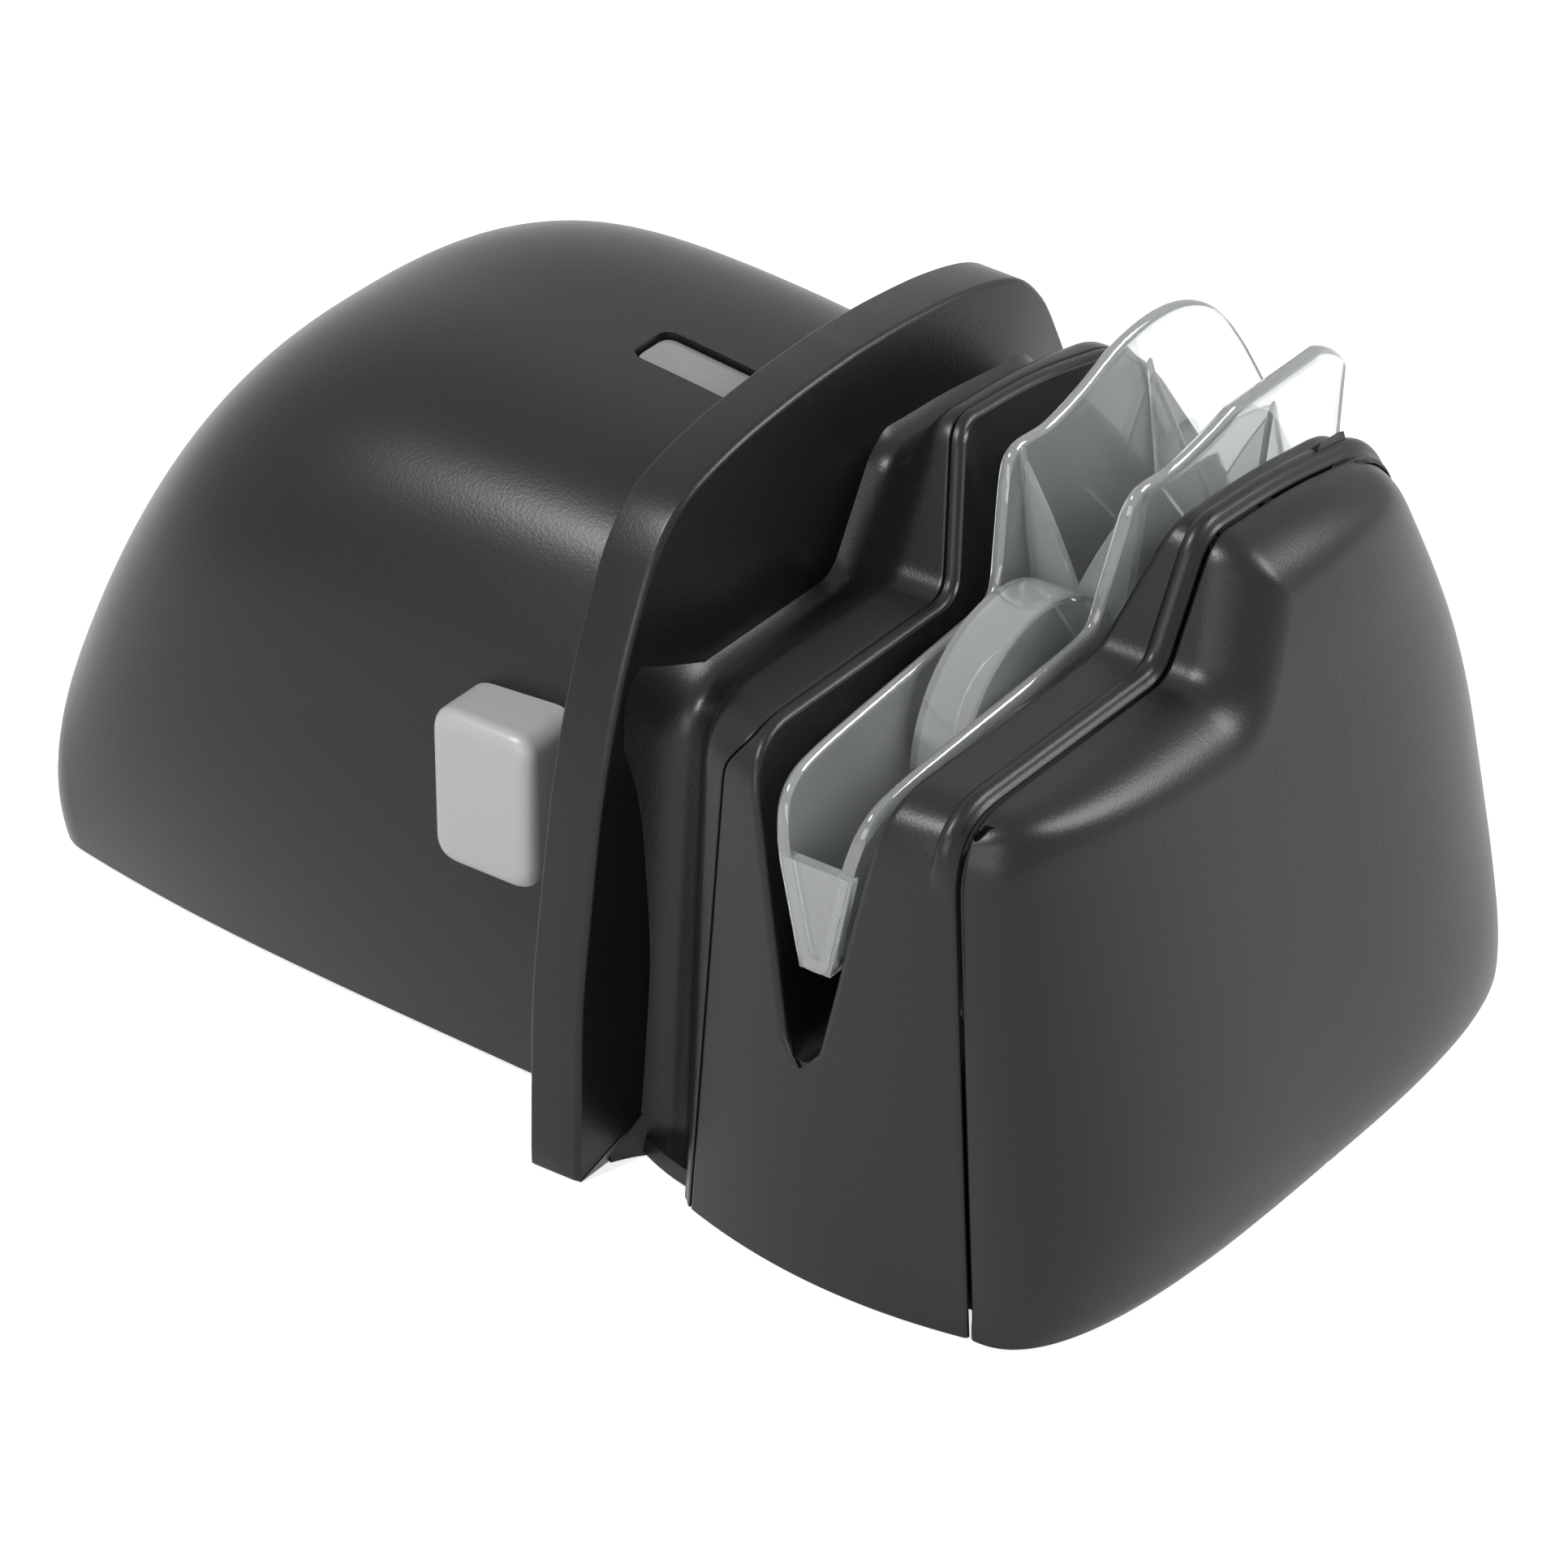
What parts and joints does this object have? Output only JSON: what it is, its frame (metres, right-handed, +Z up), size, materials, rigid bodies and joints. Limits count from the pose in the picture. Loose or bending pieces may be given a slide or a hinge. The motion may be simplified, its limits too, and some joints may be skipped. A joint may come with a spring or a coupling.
{
  "type": "electric knife sharpener",
  "caption": "Battery knife sharpener: rounded palm grip with a side button, guard plate and a V-slot grinding head with a clear blade guide.",
  "frame": {"origin": "bottom centre of the whole product, on the surface its feet stand on", "axes": "+X from the grip towards the end cap, -Y towards the side with the button, +Z up"},
  "size_m": [0.154, 0.0992, 0.0782],
  "materials": {
    "black_abs": "fine spark-eroded grain",
    "clear_guide": "clear moulded, bright rims",
    "feet_rubber": "matt",
    "steel": "zinc plated",
    "dark_tray": "smooth",
    "cell_jacket": "plain wrapped jacket",
    "nickel": "nickel plated",
    "white_nylon": "natural nylon",
    "brass_gear": "machined",
    "diamond_grit": "diamond grit in nickel",
    "grey_abs": "satin",
    "green_board": "solder mask",
    "grey_lens": "milky lens",
    "lamp": "tinted epoxy"
  },
  "bodies": {
    "chassis": {"grip_shell": "black_abs", "guard_body": "black_abs", "wheel_housing": "black_abs", "base_plate": "black_abs", "head_base": "black_abs", "rubber_feet": "feet_rubber", "door_hinge_pin": "steel", "battery_tray": "dark_tray", "cell_1": "cell_jacket", "cell_2": "cell_jacket", "cell_3": "cell_jacket", "cell_4": "cell_jacket", "contact_plates": "nickel", "cell_springs": "nickel", "motor_can": "steel", "motor_end_bell": "white_nylon", "motor_bracket": "steel", "rear_bush": "brass_gear", "outer_bush": "brass_gear", "bearing_post": "dark_tray", "button_spring": "nickel", "micro_switch": "dark_tray", "switch_board": "green_board", "status_window": "grey_lens", "indicator_led": "lamp", "led_board": "green_board", "base_screws": "steel", "head_screws": "steel", "board_screws": "steel", "bracket_screws": "steel", "motor_screws": "steel"},
    "door": {"battery_door": "black_abs"},
    "cap": {"end_cap": "black_abs"},
    "guide": {"blade_guide": "clear_guide"},
    "rotor": {"motor_shaft": "steel", "motor_pinion": "brass_gear"},
    "wheel": {"wheel_shaft": "steel", "shaft_gear": "white_nylon", "grinding_wheel": "diamond_grit", "wheel_hub": "white_nylon", "wheel_nut": "steel"},
    "button": {"power_button": "grey_abs"},
    "plunger": {"switch_plunger": "white_nylon"}
  },
  "joints": [
    {"name": "door_hinge", "type": "hinge", "parent": "chassis", "child": "door", "pos_m": [-0.0524, 0, 0.0017], "axis": [0, 1, 0], "range_deg": [0, 100]},
    {"name": "cap_pull", "type": "slide", "parent": "chassis", "child": "cap", "axis": [1, 0, 0], "range_m": [0, 0.04]},
    {"name": "guide_lift", "type": "slide", "parent": "chassis", "child": "guide", "axis": [0, 0, 1], "range_m": [0, 0.05]},
    {"name": "wheel_spin", "type": "hinge", "parent": "chassis", "child": "wheel", "pos_m": [0, -0.009, 0.0205], "axis": [1, 0, 0], "continuous": true},
    {"name": "motor_spin", "type": "hinge", "parent": "chassis", "child": "rotor", "pos_m": [0, 0.0016, 0.03746], "axis": [1, 0, 0], "continuous": true},
    {"name": "button_press", "type": "slide", "parent": "chassis", "child": "button", "axis": [0, 1, 0], "range_m": [0, 0.0025], "stiffness_N_per_m": 400, "deforming": ["button_spring"]},
    {"name": "plunger_press", "type": "slide", "parent": "chassis", "child": "plunger", "axis": [0, 1, 0], "range_m": [0, 0.0025]}
  ],
  "couplings": [
    {"joint": "motor_spin", "follows": "wheel_spin", "ratio": -3.1667},
    {"joint": "plunger_press", "follows": "button_press", "ratio": 1}
  ]
}
